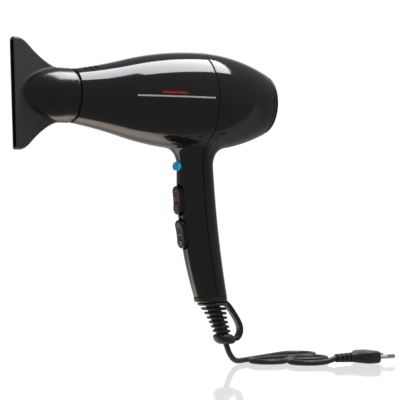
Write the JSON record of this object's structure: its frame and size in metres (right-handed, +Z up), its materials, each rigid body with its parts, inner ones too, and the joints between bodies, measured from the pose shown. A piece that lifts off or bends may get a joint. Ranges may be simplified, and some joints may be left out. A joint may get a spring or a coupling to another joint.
{
  "type": "hair dryer",
  "caption": "Corded hair dryer with a flat concentrator nozzle, rocker switches and a cold shot button, cord laid out with its plug.",
  "frame": {"origin": "middle of the grip, on the handle's centre line", "axes": "+Z up, +X towards the air intake along the barrel, +Y across the barrel"},
  "size_m": [0.3712, 0.1192, 0.2952],
  "materials": {
    "housing": "gloss",
    "nozzle_plastic": "satin",
    "black_plastic": "satin",
    "rubber": "matte",
    "blue_button": "gloss",
    "red_print": "matte",
    "grey_print": "matte",
    "white_print": "matte",
    "white_plastic": "satin",
    "nickel": "polished",
    "steel": "satin",
    "mica": "matte",
    "heating_wire": "satin",
    "brass": "satin",
    "copper": "satin",
    "fan_plastic": "satin",
    "wire_sheath": "matte",
    "film_capacitor": "satin"
  },
  "bodies": {
    "root": {"front_shell": "housing", "rear_shell": "housing", "outlet_ring": "black_plastic", "outlet_grille": "black_plastic", "heater_tube": "mica", "heater_boards": "mica", "heater_coils": "heating_wire", "thermostat": "steel", "thermal_fuse": "white_plastic", "motor_duct": "black_plastic", "motor_can": "steel", "motor_magnets": "black_plastic", "motor_end_cap": "white_plastic", "motor_bushings": "brass", "switch_carrier": "black_plastic", "heat_switch_housing": "black_plastic", "speed_switch_housing": "black_plastic", "cold_shot_spring": "steel", "cold_shot_switch": "black_plastic", "suppressor": "film_capacitor", "wiring": "wire_sheath", "cord_clamp": "black_plastic", "clamp_screws": "steel", "lead_sheath": "rubber", "shell_screws": "steel", "barrel_pinstripe": "white_print", "barrel_accent": "red_print", "strain_relief": "rubber", "hanging_loop": "rubber", "cord": "rubber", "plug_body": "rubber", "plug_sleeves": "white_plastic", "plug_pins": "nickel"},
    "nozzle_ring": {"nozzle_snap_ring": "steel"},
    "nozzle": {"nozzle": "nozzle_plastic"},
    "rotor": {"motor_shaft": "steel", "motor_armature": "copper", "motor_commutator": "copper", "impeller": "fan_plastic", "impeller_nut": "steel"},
    "heat_rocker": {"heat_rocker": "black_plastic", "heat_marks": "red_print"},
    "speed_rocker": {"speed_rocker": "black_plastic", "speed_marks": "grey_print"},
    "cold_shot": {"cold_shot_button": "blue_button"},
    "intake_cover": {"rear_filter_cap": "housing", "filter_gauze": "steel"}
  },
  "joints": [
    {"name": "nozzle_pull", "type": "slide", "parent": "root", "child": "nozzle_ring", "axis": [-1, 0, 0], "range_m": [0, 0.03]},
    {"name": "nozzle_turn", "type": "hinge", "parent": "nozzle_ring", "child": "nozzle", "pos_m": [-0.1386, 0, 0.1115], "axis": [1, 0, 0], "continuous": true},
    {"name": "fan_spin", "type": "hinge", "parent": "root", "child": "rotor", "pos_m": [0, 0, 0.1115], "axis": [1, 0, 0], "continuous": true},
    {"name": "heat_rock", "type": "hinge", "parent": "root", "child": "heat_rocker", "pos_m": [-0.01243, 0, 0.02058], "axis": [0, 1, 0], "range_deg": [-8, 8]},
    {"name": "speed_rock", "type": "hinge", "parent": "root", "child": "speed_rocker", "pos_m": [-0.00909, 0, -0.00961], "axis": [0, 1, 0], "range_deg": [-8, 8]},
    {"name": "cold_shot_press", "type": "slide", "parent": "root", "child": "cold_shot", "axis": [1, 0, 0], "range_m": [0, 0.0025], "stiffness_N_per_m": 400, "springref_m": -0.001, "deforming": ["cold_shot_spring"]},
    {"name": "cover_pull", "type": "slide", "parent": "root", "child": "intake_cover", "axis": [1, 0, 0], "range_m": [0, 0.03]}
  ]
}
